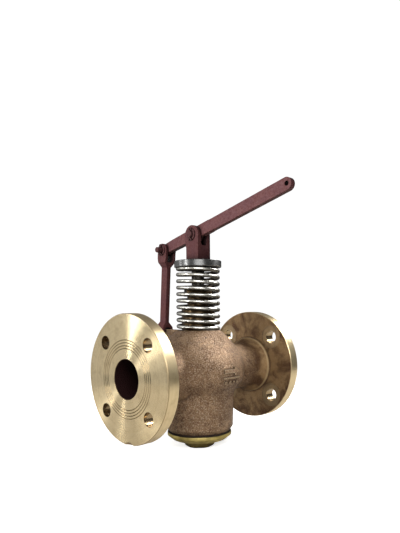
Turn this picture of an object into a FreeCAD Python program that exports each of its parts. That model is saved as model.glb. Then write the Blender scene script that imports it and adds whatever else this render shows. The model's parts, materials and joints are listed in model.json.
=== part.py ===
import FreeCAD, Part
import math
import operator
import os

import Sketcher

# Flanged pressure relief valve with an open spring and an easing lever, in millimetres.
# The origin is the centre of the inlet flange face. +X runs along the pipe from inlet to outlet,
# +Y points to the side that carries the swinging link, and +Z is up along the spindle.
# The spring stands on the body, lifts the spindle and so holds the disc up against its seat. Pressure above
# the seat, or the handle pulled down, lowers the disc and lets the flow through.

SHEET = "Sizes"
SIZES = {
    # pipe and flanges
    "face_to_face": 250,
    "axis_x": 125,
    "bore_r": 25,
    "bore_chamfer": 0.8,
    "flange_r": 82.5,
    "flange_thick": 16,
    "flange_edge": 0.8,
    "bolt_circle_r": 62.5,
    "bolt_angle": 45,
    "inlet_hole_r": 9,
    "outlet_hole_r": 9.2,
    "spotface_r": 17,
    "spotface_deep": 0.6,
    "hub_r": 42.5,
    "hub_lip": 3,
    "hub_taper": 1,
    "hub_run": 22,
    "hub_fillet": 29,
    "neck_r": 34.5,
    "collar_start": 4,
    "collar_end": 19,
    "collar_rise": 5,
    "collar_fillet": 26,
    "ring_wide": 1.1,
    "ring_deep": 0.5,
    "ring_first_r": 38.5,
    "ring_step": 3.6,
    "scoop_r": 16.8,
    "scoop_back": 10,
    "scoop_aside": 5,
    "scoop_below": 9.2,
    # bulge of the casting, about the spindle axis
    "top_z": 57.4,
    "top_r": 32,
    "top_edge": 1.4,
    "shoulder_r": 53,
    "shoulder_z": 33,
    "shoulder_bow": 95,
    "belly_r": 64.8,
    "belly_low_bow": 27,
    "belly_top_bow": 54,
    "waist_r": 57.5,
    "waist_z": -19.5,
    "waist_tuck": 5,
    "waist_fall": 6.5,
    "waist_bow": 16,
    "skirt_r": 49.3,
    "skirt_z": -37,
    "base_r": 48,
    "base_z": -84,
    "base_edge": 4.5,
    "base_rise": 6,
    "mark_raise": 1.2,
    # flow arrow, bar and studs raised on the bulge
    "arrow_half": 14,
    "arrow_neck": 4,
    "arrow_mid_z": 4,
    "arrow_thin": 2.4,
    "arrow_wide": 5.6,
    "bar_half": 15,
    "bar_low_z": -6.2,
    "bar_top_z": -4.2,
    "stud_step": 7,
    "stud_mid_z": -11.5,
    "stud_mark_r": 2,
    # web across the casting that carries the seat
    "web_top_z": 0,
    "web_low_z": -10,
    "web_foot": 67,
    "web_foot_drop": 9,
    "web_half": 40,
    "web_top_left": 36,
    "web_top_right": 34,
    "web_head": 68,
    "web_head_in": 58,
    "seat_hole_r": 28,
    # openings of the casting
    "cap_thread_r": 38,
    "cap_thread_top_z": -68,
    "chamber_r": 39.5,
    "chamber_skirt_z": -34,
    "chamber_waist_r": 44.5,
    "chamber_waist_z": -22.5,
    "chamber_waist_bow": 34,
    "chamber_belly_r": 55.8,
    "chamber_belly_bow": 50,
    "chamber_shoulder_r": 45,
    "chamber_shoulder_z": 28,
    "chamber_shoulder_bow": 90,
    "chamber_roof_r": 22,
    "chamber_roof_z": 46,
    "box_thread_r": 20,
    "press_gap": 0.05,
    # lug for the link
    "lug_thick": 10,
    "lug_eye_r": 10,
    "lug_sink": 8,
    "lug_root_in": 9,
    "lug_root_drop": 20,
    "lug_hollow": 45,
    # seat ring and disc
    "seat_bore_r": 22.5,
    "seat_lip_r": 26,
    "seat_flange_r": 32,
    "seat_z": -14,
    "seat_edge": 1,
    "disc_r": 31,
    "disc_thick": 11,
    "disc_lip_drop": 1.2,
    "seal_in_r": 15,
    "seal_out_r": 29,
    "seal_thick": 5,
    "retainer_r": 20,
    "retainer_thick": 5,
    "retainer_slope": 4,
    "disc_nut_flats": 22,
    "disc_nut_thick": 8,
    # spindle
    "spindle_r": 9,
    "spindle_top_z": 169.8,
    "stud_r": 7,
    "stem_r": 6,
    "stem_low_z": -72,
    "spindle_edge": 0.8,
    "running_gap": 0.05,
    # stuffing box and gland
    "box_low_z": 42,
    "box_sleeve_r": 23.5,
    "box_sleeve_z": 91,
    "box_edge": 1,
    "box_neck_r": 15.5,
    "box_neck_z": 112,
    "packing_r": 13,
    "packing_low_z": 70,
    "packing_top_z": 98,
    "follower_gap": 0.4,
    "follower_top_z": 115,
    "gland_flats": 36,
    "gland_low_z": 105,
    "gland_top_z": 119,
    "nut_edge_run": 6,
    "nut_edge_fall": 3,
    # bottom cap and its gasket
    "gasket_thick": 2,
    "gasket_r": 44,
    "cap_r": 45.5,
    "cap_rim": 4.2,
    "cap_cone_r": 38,
    "cap_face_z": -96,
    "cap_wall": 4,
    "cap_plug_z": -72,
    "cap_guide_r": 13,
    "cap_guide_z": -56,
    "cap_guide_low_z": -98,
    "cap_hex_flats": 37,
    "cap_hex_turn": 15,
    "cap_edge_run": 9,
    "cap_edge_rise": 5,
    "cap_low_z": -107,
    # spring and spring cap
    "spring_r": 28.25,
    "wire_r": 2.75,
    "spring_pitch": 9.1,
    "spring_top_z": 145.6,
    "spring_grind": 1.2,
    "spring_cap_r": 33.3,
    "spring_cap_edge": 0.7,
    "spring_cap_top_z": 154.7,
    "pilot_r": 24.3,
    "pilot_deep": 4,
    # clevis
    "pin_z": 191,
    "clevis_eye_r": 13,
    "clevis_back": 11,
    "clevis_swell_drop": 8,
    "clevis_swell_run": 10,
    "clevis_thick": 24,
    "fork_gap": 10.5,
    "clevis_slot_z": 176,
    "slot_corner_r": 3,
    "socket_top_z": 171,
    # lever
    "lever_rise": 14.4,
    "lever_top": 10.8,
    "lever_low": -5.1,
    "arm_low": -3.6,
    "arm_low_mid": -4.2,
    "arm_low_share": 0.55,
    "arm_top_share": 0.7,
    "tongue_thick": 10,
    "handle_thick": 8,
    "joggle_start": 28,
    "joggle_end": 33,
    "tip_reach": 162,
    "lever_eye_r": 9.5,
    "arm_eye_r": 8,
    "arm_reach": 69.23,
    "arm_rise": 1.77,
    "handle_hole_r": 3,
    "handle_hole_reach": 163.2,
    "open_gap": 0.3,
    # link
    "link_foot_y": 76.5,
    "link_foot_z": 47,
    "link_top_y": 67.5,
    "link_top_z": 175.5,
    "link_wide": 13,
    "link_thick": 7.5,
    "link_eye_r": 9.8,
    "ear_thick": 4.5,
    "ear_full": 12,
    "ear_cheek": 9.5,
    "ear_taper": 13,
    "ear_foot": 8,
    "foot_crotch": 13.4,
    "head_crotch": 17.5,
    "flare_run": 7.5,
    "flare_lap": 0.5,
    # pivot pins, washers and split pins
    "clevis_pin_r": 4.5,
    "clevis_tail": 5,
    "fulcrum_pin_r": 4,
    "fulcrum_tail": 10,
    "foot_pin_r": 4.5,
    "foot_tail": 6,
    "pin_head": 3.5,
    "pin_head_lap": 2.5,
    "pin_edge": 0.7,
    "washer_thick": 1.5,
    "washer_lap": 3.3,
    "split_r": 0.9,
    "split_wire_r": 0.7,
    "split_hole_r": 1,
    "split_eye_r": 1.9,
    "split_reach": 0.5,
    "split_gap": 0.2,
    "split_tail": 5,
    "split_splay": 35,
}
TINY = 0.001
CLEAR = 1


class Size:
    """A length that knows its value and the formula that ties it to the sheet."""

    signs = {"+": operator.add, "-": operator.sub, "*": operator.mul, "/": operator.truediv}

    def __init__(self, value, formula=None):
        self.value = float(value)
        self.formula = formula if formula is not None else repr(float(value))

    def joined(self, sign, other):
        other = other if isinstance(other, Size) else Size(other)
        value = self.signs[sign](self.value, other.value)
        return Size(value, "(%s %s %s)" % (self.formula, sign, other.formula))

    def __add__(self, other):
        return self.joined("+", other)

    def __sub__(self, other):
        return self.joined("-", other)

    def __mul__(self, other):
        return self.joined("*", other)

    def __truediv__(self, other):
        return self.joined("/", other)

    def __neg__(self):
        return Size(0).joined("-", self)


class Sizes:
    """The sheet's cells, each as an attribute."""

    def __init__(self, sheet, table):
        for row, (name, value) in enumerate(table.items(), start=1):
            sheet.set("A%d" % row, name)
            sheet.set("B%d" % row, str(value))
            sheet.setAlias("B%d" % row, name)
            setattr(self, name, Size(value, "%s.%s" % (SHEET, name)))


doc = FreeCAD.newDocument("relief_valve")
sheet = doc.addObject("Spreadsheet::Sheet", SHEET)
sz = Sizes(sheet, SIZES)
doc.recompute()
ZERO = Size(0)
nodes = []


def as_size(number):
    return number if isinstance(number, Size) else Size(number)


def bind(thing, prop, size):
    """Set a property to a size and keep it tied to the sheet."""
    thing.setExpression(prop, as_size(size).formula)


def new_body(name):
    return doc.addObject("PartDesign::Body", name)


def origin_part(body, role):
    return [part for part in body.Origin.OriginFeatures if part.Role == role][0]


def sketch_on(body, plane, across=ZERO, up=ZERO, out=ZERO):
    """A sketch on one of the body's own planes, shifted along the sketch's own axes."""
    sketch = body.newObject("Sketcher::SketchObject", body.Name + "_sketch")
    sketch.AttachmentSupport = [(origin_part(body, plane), "")]
    sketch.MapMode = "FlatFace"
    for axis, shift in zip("xyz", (across, up, out)):
        bind(sketch, "AttachmentOffset.Base." + axis, shift)
    return sketch


def fix_point(sketch, side, end, across, up):
    """Hold one end of a side at a bound place."""
    for kind, size in (("DistanceX", across), ("DistanceY", up)):
        number = sketch.addConstraint(Sketcher.Constraint(kind, -1, 1, side, end, size.value))
        bind(sketch, "Constraints[%d]" % number, size)


def arc_between(start, end, radius):
    """The short arc from start to end; a positive radius puts its centre on the left of the way."""
    chord = end - start
    half = chord.Length / 2
    left = FreeCAD.Vector(-chord.y, chord.x, 0).normalize()
    reach = math.sqrt(max(radius * radius - half * half, 0))
    centre = start + chord * 0.5 + left * math.copysign(reach, radius)
    first, last = (start, end) if radius > 0 else (end, start)
    begin = math.atan2(first.y - centre.y, first.x - centre.x)
    finish = math.atan2(last.y - centre.y, last.x - centre.x)
    if finish < begin:
        finish += 2 * math.pi
    circle = Part.Circle(centre, FreeCAD.Vector(0, 0, 1), abs(radius))
    return Part.ArcOfCircle(circle, begin, finish)


def outline(sketch, corners, bows=None):
    """Close an outline through the corners. bows maps a corner's number to the radius of the arc that
    leaves it, positive when the arc's centre lies on the left."""
    bows = bows or {}
    corners = [(as_size(across), as_size(up)) for across, up in corners]
    first_side = sketch.GeometryCount
    count = len(corners)
    ends = []
    for number, corner in enumerate(corners):
        following = corners[(number + 1) % count]
        start = FreeCAD.Vector(corner[0].value, corner[1].value, 0)
        end = FreeCAD.Vector(following[0].value, following[1].value, 0)
        bow = bows.get(number)
        if bow is None:
            sketch.addGeometry(Part.LineSegment(start, end))
            ends.append((1, 2))
            continue
        side = sketch.addGeometry(arc_between(start, end, bow.value))
        ends.append((1, 2) if bow.value > 0 else (2, 1))
        radius = bow if bow.value > 0 else -bow
        held = sketch.addConstraint(Sketcher.Constraint("Radius", side, radius.value))
        bind(sketch, "Constraints[%d]" % held, radius)
    for number, (across, up) in enumerate(corners):
        after = (number + 1) % count
        meet = (first_side + number, ends[number][1], first_side + after, ends[after][0])
        sketch.addConstraint(Sketcher.Constraint("Coincident", *meet))
        fix_point(sketch, first_side + number, ends[number][0], across, up)


def box_outline(sketch, left, low, right, top):
    outline(sketch, [(left, low), (right, low), (right, top), (left, top)])


def circle(sketch, across, up, radius):
    across, up, radius = as_size(across), as_size(up), as_size(radius)
    centre = FreeCAD.Vector(across.value, up.value, 0)
    side = sketch.addGeometry(Part.Circle(centre, FreeCAD.Vector(0, 0, 1), radius.value))
    held = sketch.addConstraint(Sketcher.Constraint("Radius", side, radius.value))
    bind(sketch, "Constraints[%d]" % held, radius)
    fix_point(sketch, side, 3, across, up)


def hexagon(sketch, flats, turn=ZERO):
    """A hexagon about the sketch's origin; turn in degrees moves its first corner off the across axis."""
    corner_r = flats / math.sqrt(3)
    angles = [math.radians(turn.value + 60 * step) for step in range(6)]
    outline(sketch, [(corner_r * math.cos(angle), corner_r * math.sin(angle)) for angle in angles])


def grow(body, kind, sketch, length=None, both_ways=False, about=None):
    """Add a PartDesign feature to the body and check that it changed the volume."""
    before = body.Tip.Shape.Volume if body.Tip else 0
    feature = body.newObject("PartDesign::" + kind, "%s_%s" % (body.Name, kind.lower()))
    feature.Profile = sketch
    if about:
        feature.ReferenceAxis = (sketch, [about])
        feature.Angle = 360
    else:
        bind(feature, "Length", length)
        feature.SideType = "Symmetric" if both_ways else "One side"
    sketch.Visibility = False
    doc.recompute()
    if abs(feature.Shape.Volume - before) < 1e-6:
        raise ValueError("%s changes nothing" % feature.Name)
    return feature


def turned(body, corners, bows=None):
    """Revolve an outline of (radius, height) corners about the upright axis."""
    sketch = sketch_on(body, "XZ_Plane")
    outline(sketch, corners, bows)
    return grow(body, "Revolution", sketch, about="V_Axis")


def bored(body, corners):
    """Cut an outline of (radius, height) corners turned about the upright axis."""
    sketch = sketch_on(body, "XZ_Plane")
    outline(sketch, corners)
    return grow(body, "Groove", sketch, about="V_Axis")


def place(thing, across=ZERO, along=ZERO, up=ZERO, turn=None):
    """Bind the placement; turn is a rotation in degrees about X."""
    for axis, shift in zip("xyz", (across, along, up)):
        bind(thing, "Placement.Base." + axis, shift)
    if turn is not None:
        thing.Placement.Rotation = FreeCAD.Rotation(FreeCAD.Vector(1, 0, 0), turn.value)
        bind(thing, "Placement.Rotation.Angle", turn)


def node(thing, label, *where, turn=None):
    """Name a finished sub-part, put it in its place and keep it for writing."""
    thing.Label = label
    place(thing, *where, turn=turn)
    nodes.append(thing)


# ---- casting ----


def bulge_corners(extra=0):
    """Corners of the bulge's outside as (radius, height), pushed out by extra."""
    return [
        (ZERO, sz.base_z),
        (sz.base_r - sz.base_edge + extra, sz.base_z),
        (sz.base_r + extra, sz.base_z + sz.base_rise),
        (sz.skirt_r + extra, sz.skirt_z),
        (sz.waist_r - sz.waist_tuck + extra, sz.waist_z - sz.waist_fall),
        (sz.waist_r + extra, sz.waist_z),
        (sz.belly_r + extra, ZERO),
        (sz.shoulder_r + extra, sz.shoulder_z + extra),
        (sz.top_r + extra, sz.top_z - sz.top_edge + extra),
        (sz.top_r - sz.top_edge, sz.top_z + extra),
        (ZERO, sz.top_z + extra),
    ]


BULGE_BOWS = {3: -sz.waist_bow, 5: sz.belly_low_bow, 6: sz.belly_top_bow, 7: sz.shoulder_bow}


def pipe_corners():
    """Corners of the pipe's outside as (along, radius): flange, hub, neck, collar, then back again."""
    half = [
        (ZERO, sz.flange_r - sz.flange_edge),
        (sz.flange_edge, sz.flange_r),
        (sz.flange_thick - sz.flange_edge, sz.flange_r),
        (sz.flange_thick, sz.flange_r - sz.flange_edge),
        (sz.flange_thick, sz.hub_r),
        (sz.flange_thick + sz.hub_lip, sz.hub_r - sz.hub_taper),
        (sz.flange_thick + sz.hub_run, sz.neck_r),
        (sz.axis_x - sz.belly_r + sz.collar_start, sz.neck_r),
        (sz.axis_x - sz.belly_r + sz.collar_end, sz.neck_r + sz.collar_rise),
    ]
    mirrored = [(sz.face_to_face - along, radius) for along, radius in reversed(half)]
    return [(ZERO, ZERO)] + half + mirrored + [(sz.face_to_face, ZERO)]


PIPE_BOWS = {6: sz.hub_fillet, 8: sz.collar_fillet, 10: sz.collar_fillet, 12: sz.hub_fillet}


def outside_of_casting():
    body = new_body("casting_outside")
    pipe = sketch_on(body, "XZ_Plane")
    outline(pipe, pipe_corners(), PIPE_BOWS)
    grow(body, "Revolution", pipe, about="H_Axis")
    bulge = sketch_on(body, "XZ_Plane", across=sz.axis_x)
    outline(bulge, bulge_corners(), BULGE_BOWS)
    grow(body, "Revolution", bulge, about="V_Axis")
    add_lug(body)
    cut_bolt_holes(body)
    cut_face_rings(body)
    return body


def add_lug(body):
    """The upright lug that the link's foot straddles, level with the top of the casting."""
    lug = sketch_on(body, "YZ_Plane", out=sz.axis_x)
    top = sz.link_foot_z + sz.lug_eye_r
    low = sz.link_foot_z - sz.lug_eye_r
    root_y = sz.top_r - sz.lug_sink
    root_z = low - sz.lug_root_drop
    round_r = sz.lug_eye_r + TINY
    corners = [
        (root_y, root_z),
        (sz.belly_r - sz.lug_root_in, root_z),
        (sz.link_foot_y, low),
        (sz.link_foot_y + sz.lug_eye_r, sz.link_foot_z),
        (sz.link_foot_y, top),
        (root_y, top),
    ]
    outline(lug, corners, {1: -sz.lug_hollow, 2: round_r, 3: round_r})
    grow(body, "Pad", lug, length=sz.lug_thick, both_ways=True)
    hole = sketch_on(body, "YZ_Plane", out=sz.axis_x)
    circle(hole, sz.link_foot_y, sz.link_foot_z, sz.foot_pin_r + sz.press_gap)
    grow(body, "Pocket", hole, length=sz.lug_thick * 2, both_ways=True)


def cut_bolt_holes(body):
    """One hole and one spotface in each flange, then both repeated on the bolt circle."""
    angle = math.radians(sz.bolt_angle.value)
    across = sz.bolt_circle_r * math.cos(angle)
    up = sz.bolt_circle_r * math.sin(angle)
    backs = sz.face_to_face - sz.flange_thick
    cuts = []
    for out, radius, deep in (
        (sz.flange_thick, sz.inlet_hole_r, sz.flange_thick),
        (sz.face_to_face, sz.outlet_hole_r, sz.flange_thick),
        (sz.flange_thick + CLEAR, sz.spotface_r, sz.spotface_deep + CLEAR),
        (backs + sz.spotface_deep, sz.spotface_r, sz.spotface_deep + CLEAR),
    ):
        sketch = sketch_on(body, "YZ_Plane", out=out)
        circle(sketch, across, up, radius)
        cuts.append(grow(body, "Pocket", sketch, length=deep))
    ring = body.newObject("PartDesign::PolarPattern", "bolt_circle")
    ring.Originals = cuts
    ring.Axis = (origin_part(body, "X_Axis"), [""])
    ring.Angle = 360
    ring.Occurrences = 4
    body.Tip = ring
    doc.recompute()


def cut_face_rings(body):
    """The fine concentric grooves turned into both flange faces."""
    sketch = sketch_on(body, "XZ_Plane")
    half = sz.ring_wide / 2
    for face, deep in ((ZERO, sz.ring_deep), (sz.face_to_face, -sz.ring_deep)):
        for number in range(4):
            ring_r = sz.ring_first_r + sz.ring_step * number
            outline(sketch, [(face, ring_r - half), (face + deep, ring_r), (face, ring_r + half)])
    grow(body, "Groove", sketch, about="H_Axis")


def inside_of_casting():
    """Everything cast or cut out of the inside, left as one solid to be taken away."""
    body = new_body("casting_inside")
    chamber = sketch_on(body, "XZ_Plane", across=sz.axis_x)
    thread_r = sz.cap_thread_r + sz.press_gap
    corners = [
        (ZERO, sz.base_z - CLEAR),
        (thread_r, sz.base_z - CLEAR),
        (thread_r, sz.cap_thread_top_z),
        (sz.chamber_r, sz.cap_thread_top_z),
        (sz.chamber_r, sz.chamber_skirt_z),
        (sz.chamber_waist_r, sz.chamber_waist_z),
        (sz.chamber_belly_r, ZERO),
        (sz.chamber_shoulder_r, sz.chamber_shoulder_z),
        (sz.chamber_roof_r, sz.chamber_roof_z),
        (ZERO, sz.chamber_roof_z),
    ]
    bows = {5: sz.chamber_waist_bow, 6: sz.chamber_belly_bow, 7: sz.chamber_shoulder_bow}
    outline(chamber, corners, bows)
    grow(body, "Revolution", chamber, about="V_Axis")
    bore = sketch_on(body, "XZ_Plane")
    chamfer_r = sz.bore_r + sz.bore_chamfer
    outline(
        bore,
        [
            (-sz.bore_chamfer, ZERO),
            (sz.face_to_face + sz.bore_chamfer, ZERO),
            (sz.face_to_face + sz.bore_chamfer, chamfer_r + sz.bore_chamfer),
            (sz.face_to_face - sz.bore_chamfer, sz.bore_r),
            (sz.bore_chamfer, sz.bore_r),
            (-sz.bore_chamfer, chamfer_r + sz.bore_chamfer),
        ],
    )
    grow(body, "Revolution", bore, about="H_Axis")
    leave_web(body)
    for radius, low, top in (
        (sz.seat_hole_r, sz.web_low_z, sz.web_top_z),
        (sz.box_thread_r, sz.chamber_roof_z, sz.top_z),
    ):
        hole = sketch_on(body, "XY_Plane", across=sz.axis_x, out=low - CLEAR)
        circle(hole, 0, 0, radius + sz.press_gap)
        grow(body, "Pad", hole, length=top - low + CLEAR * 2)
    return body


def leave_web(body):
    """Keep the S-shaped web that parts the inlet above the seat from the outlet below it."""
    sketch = sketch_on(body, "XZ_Plane", across=sz.axis_x)
    past_bore = sz.bore_r + CLEAR
    outline(
        sketch,
        [
            (-sz.web_foot, -past_bore),
            (-sz.web_foot, -past_bore - sz.web_foot_drop),
            (-sz.web_half, sz.web_low_z),
            (sz.web_half, sz.web_low_z),
            (sz.web_head, past_bore),
            (sz.web_head_in, past_bore),
            (sz.web_top_right, sz.web_top_z),
            (-sz.web_top_left, sz.web_top_z),
        ],
    )
    grow(body, "Pocket", sketch, length=sz.belly_r * 2, both_ways=True)


def flow_marks():
    """A raised flow arrow, a bar and a row of studs on the handle side, thick enough to be trimmed."""
    body = new_body("flow_marks")
    sketch = sketch_on(body, "XZ_Plane", across=sz.axis_x)
    mid, thin, wide = sz.arrow_mid_z, sz.arrow_thin, sz.arrow_wide
    outline(
        sketch,
        [
            (-sz.arrow_half, mid - thin),
            (sz.arrow_neck, mid - thin),
            (sz.arrow_neck, mid - wide),
            (sz.arrow_half, mid),
            (sz.arrow_neck, mid + wide),
            (sz.arrow_neck, mid + thin),
            (-sz.arrow_half, mid + thin),
        ],
    )
    box_outline(sketch, -sz.bar_half, sz.bar_low_z, sz.bar_half, sz.bar_top_z)
    for steps in (-1.5, -0.5, 0.5, 1.5):
        circle(sketch, sz.stud_step * steps, sz.stud_mid_z, sz.stud_mark_r)
    grow(body, "Pad", sketch, length=sz.belly_r + sz.mark_raise * 2)
    return body


def marks_skin():
    """The bulge grown by the height of the raised marks."""
    body = new_body("marks_skin")
    sketch = sketch_on(body, "XZ_Plane", across=sz.axis_x)
    outline(sketch, bulge_corners(sz.mark_raise), BULGE_BOWS)
    grow(body, "Revolution", sketch, about="V_Axis")
    return body


def rim_scoop():
    """The shallow scoop in the lower edge of the inlet flange."""
    ball = doc.addObject("Part::Sphere", "rim_scoop")
    bind(ball, "Radius", sz.scoop_r)
    place(ball, -sz.scoop_back, -sz.scoop_aside, -sz.flange_r - sz.scoop_below)
    return ball


def valve_body():
    trimmed = doc.addObject("Part::Common", "trimmed_marks")
    trimmed.Base = flow_marks()
    trimmed.Tool = marks_skin()
    outside = doc.addObject("Part::Fuse", "outside")
    outside.Base = outside_of_casting()
    outside.Tool = trimmed
    removed = doc.addObject("Part::MultiFuse", "removed")
    removed.Shapes = [inside_of_casting(), rim_scoop()]
    casting = doc.addObject("Part::Cut", "valve_body")
    casting.Base = outside
    casting.Tool = removed
    node(casting, "valve_body")


# ---- seat, cap and gasket ----


def seat_ring():
    body = new_body("seat_ring")
    flange_low = sz.seat_z + sz.seat_edge
    top_z = sz.web_top_z + sz.seat_edge
    turned(
        body,
        [
            (sz.seat_bore_r, sz.seat_z),
            (sz.seat_lip_r, sz.seat_z),
            (sz.seat_lip_r + sz.seat_edge, flange_low),
            (sz.seat_flange_r, flange_low),
            (sz.seat_flange_r, sz.web_low_z),
            (sz.seat_hole_r, sz.web_low_z),
            (sz.seat_hole_r, top_z),
            (sz.seat_bore_r + sz.seat_edge, top_z),
            (sz.seat_bore_r, sz.web_top_z),
        ],
    )
    node(body, "seat_ring", sz.axis_x)


def bottom_cap():
    body = new_body("bottom_cap")
    joint_z = sz.base_z - sz.gasket_thick
    cup_r = sz.cap_thread_r - sz.cap_wall
    cup_z = joint_z + sz.cap_wall
    turned(
        body,
        [
            (ZERO, sz.cap_face_z),
            (sz.cap_cone_r, sz.cap_face_z),
            (sz.cap_r, joint_z - sz.cap_rim),
            (sz.cap_r, joint_z),
            (sz.cap_thread_r, joint_z),
            (sz.cap_thread_r, sz.cap_plug_z),
            (cup_r, sz.cap_plug_z),
            (cup_r, cup_z),
            (sz.cap_guide_r, cup_z),
            (sz.cap_guide_r, sz.cap_guide_z),
            (ZERO, sz.cap_guide_z),
        ],
    )
    head = sketch_on(body, "XY_Plane", out=sz.cap_low_z)
    hexagon(head, sz.cap_hex_flats, turn=sz.cap_hex_turn)
    grow(body, "Pad", head, length=sz.cap_face_z - sz.cap_low_z)
    half = sz.cap_hex_flats / 2
    edge_low = sz.cap_low_z - CLEAR
    edge_out = half + sz.cap_edge_run
    bored(body, [(half - CLEAR, edge_low), (edge_out, edge_low), (edge_out, sz.cap_low_z + sz.cap_edge_rise)])
    guide_r = sz.stem_r + sz.running_gap
    guide_top = sz.cap_guide_z + CLEAR
    guide = [(ZERO, sz.cap_guide_low_z), (guide_r, sz.cap_guide_low_z), (guide_r, guide_top)]
    bored(body, guide + [(ZERO, guide_top)])
    node(body, "bottom_cap", sz.axis_x)


def ring(label, inner, outer, low, top):
    """A plain ring about the spindle axis."""
    body = new_body(label)
    turned(body, [(inner, low), (outer, low), (outer, top), (inner, top)])
    node(body, label, sz.axis_x)


def cap_gasket():
    ring("cap_gasket", sz.cap_thread_r + sz.press_gap, sz.gasket_r, sz.base_z - sz.gasket_thick, sz.base_z)


# ---- disc ----


def valve_disc():
    body = new_body("valve_disc")
    stud_hole_r = sz.stud_r + sz.press_gap
    floor_z = sz.seat_z - sz.seal_thick
    low_z = floor_z - sz.disc_thick
    lip_z = sz.seat_z - sz.disc_lip_drop
    turned(
        body,
        [
            (stud_hole_r, low_z),
            (sz.disc_r - sz.seat_edge, low_z),
            (sz.disc_r, low_z + sz.seat_edge),
            (sz.disc_r, lip_z),
            (sz.seal_out_r + sz.press_gap, lip_z),
            (sz.seal_out_r + sz.press_gap, floor_z),
            (stud_hole_r, floor_z),
        ],
    )
    node(body, "valve_disc", sz.axis_x)


def disc_seal():
    ring("disc_seal", sz.seal_in_r, sz.seal_out_r, sz.seat_z - sz.seal_thick, sz.seat_z)


def seal_retainer():
    body = new_body("seal_retainer")
    stud_hole_r = sz.stud_r + sz.press_gap
    hub_r = sz.seal_in_r - sz.press_gap
    floor_z = sz.seat_z - sz.seal_thick
    top_z = sz.seat_z + sz.retainer_thick
    turned(
        body,
        [
            (stud_hole_r, floor_z),
            (hub_r, floor_z),
            (hub_r, sz.seat_z),
            (sz.retainer_r, sz.seat_z),
            (sz.retainer_r, top_z - sz.retainer_slope / 2),
            (sz.retainer_r - sz.retainer_slope, top_z),
            (stud_hole_r, top_z),
        ],
    )
    node(body, "seal_retainer", sz.axis_x)


def disc_nut():
    body = new_body("disc_nut")
    top_z = sz.seat_z - sz.seal_thick - sz.disc_thick
    sketch = sketch_on(body, "XY_Plane", out=top_z - sz.disc_nut_thick)
    hexagon(sketch, sz.disc_nut_flats)
    circle(sketch, 0, 0, sz.stud_r + sz.press_gap)
    grow(body, "Pad", sketch, length=sz.disc_nut_thick)
    node(body, "disc_nut", sz.axis_x)


# ---- spindle and gland ----


def spindle():
    body = new_body("spindle")
    edge = sz.spindle_edge
    shoulder_z = sz.seat_z + sz.retainer_thick
    stud_low_z = sz.seat_z - sz.seal_thick - sz.disc_thick - sz.disc_nut_thick - edge
    turned(
        body,
        [
            (ZERO, sz.stem_low_z),
            (sz.stem_r - edge, sz.stem_low_z),
            (sz.stem_r, sz.stem_low_z + edge),
            (sz.stem_r, stud_low_z),
            (sz.stud_r, stud_low_z),
            (sz.stud_r, shoulder_z),
            (sz.spindle_r, shoulder_z),
            (sz.spindle_r, sz.spindle_top_z - edge),
            (sz.spindle_r - edge, sz.spindle_top_z),
            (ZERO, sz.spindle_top_z),
        ],
    )
    node(body, "spindle", sz.axis_x)


def stuffing_box():
    body = new_body("stuffing_box")
    guide_r = sz.spindle_r + sz.running_gap
    turned(
        body,
        [
            (guide_r, sz.box_low_z),
            (sz.box_thread_r, sz.box_low_z),
            (sz.box_thread_r, sz.top_z),
            (sz.box_sleeve_r, sz.top_z),
            (sz.box_sleeve_r, sz.box_sleeve_z - sz.box_edge),
            (sz.box_sleeve_r - sz.box_edge, sz.box_sleeve_z),
            (sz.box_neck_r, sz.box_sleeve_z),
            (sz.box_neck_r, sz.box_neck_z),
            (sz.packing_r, sz.box_neck_z),
            (sz.packing_r, sz.packing_low_z),
            (guide_r, sz.packing_low_z),
        ],
    )
    node(body, "stuffing_box", sz.axis_x)


def gland_packing():
    inner = sz.spindle_r + sz.running_gap / 2
    outer = sz.packing_r - sz.press_gap
    ring("gland_packing", inner, outer, sz.packing_low_z, sz.packing_top_z)


def gland_follower():
    body = new_body("gland_follower")
    inner = sz.spindle_r + sz.running_gap * 2
    turned(
        body,
        [
            (inner, sz.packing_top_z),
            (sz.packing_r - sz.press_gap, sz.packing_top_z),
            (sz.packing_r - sz.press_gap, sz.box_neck_z),
            (sz.box_neck_r - sz.box_edge, sz.box_neck_z + sz.follower_gap),
            (sz.box_neck_r - sz.box_edge, sz.follower_top_z),
            (inner, sz.follower_top_z),
        ],
    )
    node(body, "gland_follower", sz.axis_x)


def gland_nut():
    body = new_body("gland_nut")
    sketch = sketch_on(body, "XY_Plane", out=sz.gland_low_z)
    hexagon(sketch, sz.gland_flats)
    grow(body, "Pad", sketch, length=sz.gland_top_z - sz.gland_low_z)
    half = sz.gland_flats / 2
    edge_out = half + sz.nut_edge_run
    low = sz.gland_low_z - CLEAR
    top = sz.gland_top_z + CLEAR
    bored(body, [(half - CLEAR, top), (edge_out, top), (edge_out, sz.gland_top_z - sz.nut_edge_fall)])
    thread_r = sz.box_neck_r + sz.press_gap
    hole_r = sz.spindle_r + sz.follower_gap
    bored(body, [(ZERO, low), (thread_r, low), (thread_r, sz.follower_top_z), (ZERO, sz.follower_top_z)])
    bored(body, [(ZERO, low), (hole_r, low), (hole_r, top), (ZERO, top)])
    node(body, "gland_nut", sz.axis_x)


# ---- spring ----


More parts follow.
